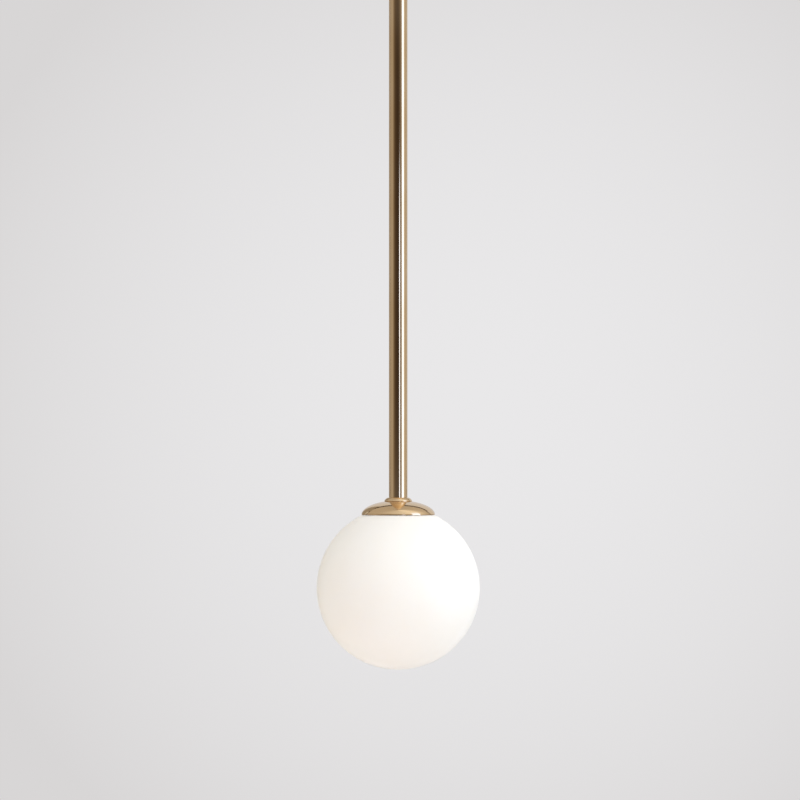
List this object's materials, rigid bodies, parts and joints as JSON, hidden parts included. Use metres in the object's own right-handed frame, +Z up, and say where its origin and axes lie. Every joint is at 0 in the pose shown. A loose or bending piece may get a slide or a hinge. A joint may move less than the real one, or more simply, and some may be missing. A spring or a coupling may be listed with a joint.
{
  "type": "pendant ceiling light",
  "caption": "Pendant ceiling light: a white opal glass globe under a low polished brass dome, on a straight brass tube hung from a domed ceiling canopy.",
  "frame": {"origin": "centre of the mounting plate's top face, on the ceiling", "axes": "+Z up towards the ceiling, along the stem; +X along the line of the two fixing slots; -Y is the front"},
  "size_m": [0.14, 0.14, 0.7755],
  "materials": {
    "polished_brass": "polished and lacquered",
    "plain_brass": "turned, unpolished",
    "zinc_steel": "bright zinc plated",
    "tinned_copper": "tin plated copper",
    "spring_bronze": "phosphor bronze strip",
    "terminal_polyamide": "natural moulded",
    "nylon": "turned nylon",
    "white_sheath": "smooth flexible",
    "brown_core": "silicone insulated",
    "blue_core": "silicone insulated",
    "green_yellow_core": "silicone insulated",
    "steatite": "unglazed",
    "silicone": "translucent white",
    "opal_glass": "satin etched opal",
    "lamp_foot": "smooth white",
    "nickel_wire": "nickel plated wire",
    "clear_glass": "clear",
    "phosphor": "yellow phosphor coat",
    "lamp_post_glass": "clear pressed"
  },
  "bodies": {
    "ceiling_mount": {"mounting_plate": "zinc_steel", "gimbal_yoke": "zinc_steel", "yoke_rivets": "zinc_steel", "terminal_block": "terminal_polyamide", "terminal_barrels": "plain_brass", "terminal_screws": "zinc_steel", "terminal_fixing_screw": "zinc_steel", "earth_screw": "zinc_steel", "earth_washer": "zinc_steel", "earth_lug": "tinned_copper", "head_core_live": "brown_core", "head_core_neutral": "blue_core", "head_core_earth": "green_yellow_core"},
    "gimbal": {"gimbal_ring": "zinc_steel", "gimbal_pins": "zinc_steel"},
    "stem": {"stem_head": "plain_brass", "stem_tube": "polished_brass", "stem_foot_bush": "plain_brass", "threaded_nipple": "zinc_steel", "flex_sheath": "white_sheath", "stem_core_live": "brown_core", "stem_core_neutral": "blue_core", "stem_core_earth": "green_yellow_core", "foot_collar": "polished_brass", "globe_cap": "polished_brass", "cap_spacer": "plain_brass", "fitter_cup": "zinc_steel", "holder_bracket": "zinc_steel", "lock_washer": "zinc_steel", "lock_nut": "zinc_steel", "earth_tag": "tinned_copper", "earth_tag_screw": "zinc_steel", "lampholder_body": "steatite", "lampholder_contacts": "spring_bronze", "lampholder_screws": "zinc_steel"},
    "canopy": {"canopy_shell": "polished_brass", "canopy_collar": "polished_brass", "canopy_liner": "nylon", "canopy_ring_nut": "plain_brass", "canopy_grub_screw": "polished_brass"},
    "globe_seal": {"seal_ring": "silicone"},
    "globe": {"globe_glass": "opal_glass"},
    "lamp": {"lamp_base": "lamp_foot", "lamp_pins": "nickel_wire", "lamp_envelope": "clear_glass", "lamp_filaments": "phosphor", "lamp_post": "lamp_post_glass"}
  },
  "joints": [
    {"name": "swing_x", "type": "hinge", "parent": "ceiling_mount", "child": "gimbal", "pos_m": [0, 0, -0.019], "axis": [1, 0, 0], "range_deg": [-4, 4], "deforming": ["head_core_live", "head_core_neutral", "head_core_earth"]},
    {"name": "swing_y", "type": "hinge", "parent": "gimbal", "child": "stem", "pos_m": [0, 0, -0.019], "axis": [0, 1, 0], "range_deg": [-4, 4], "deforming": ["head_core_live", "head_core_neutral", "head_core_earth"]},
    {"name": "canopy_slide", "type": "slide", "parent": "stem", "child": "canopy", "axis": [0, 0, 1], "range_m": [-0.587, 0]},
    {"name": "globe_drop", "type": "slide", "parent": "stem", "child": "globe_seal", "axis": [0, 0, 1], "range_m": [-0.0036, 0]},
    {"name": "globe_turn", "type": "hinge", "parent": "globe_seal", "child": "globe", "pos_m": [0, 0, -0.7055], "axis": [0, 0, 1], "range_deg": [-540, 0]},
    {"name": "lamp_pull", "type": "slide", "parent": "stem", "child": "lamp", "axis": [0, 0, 1], "range_m": [-0.018, 0]}
  ],
  "couplings": [
    {"joint": "globe_drop", "follows": "globe_turn", "m_per_rad": 0.00038197}
  ]
}
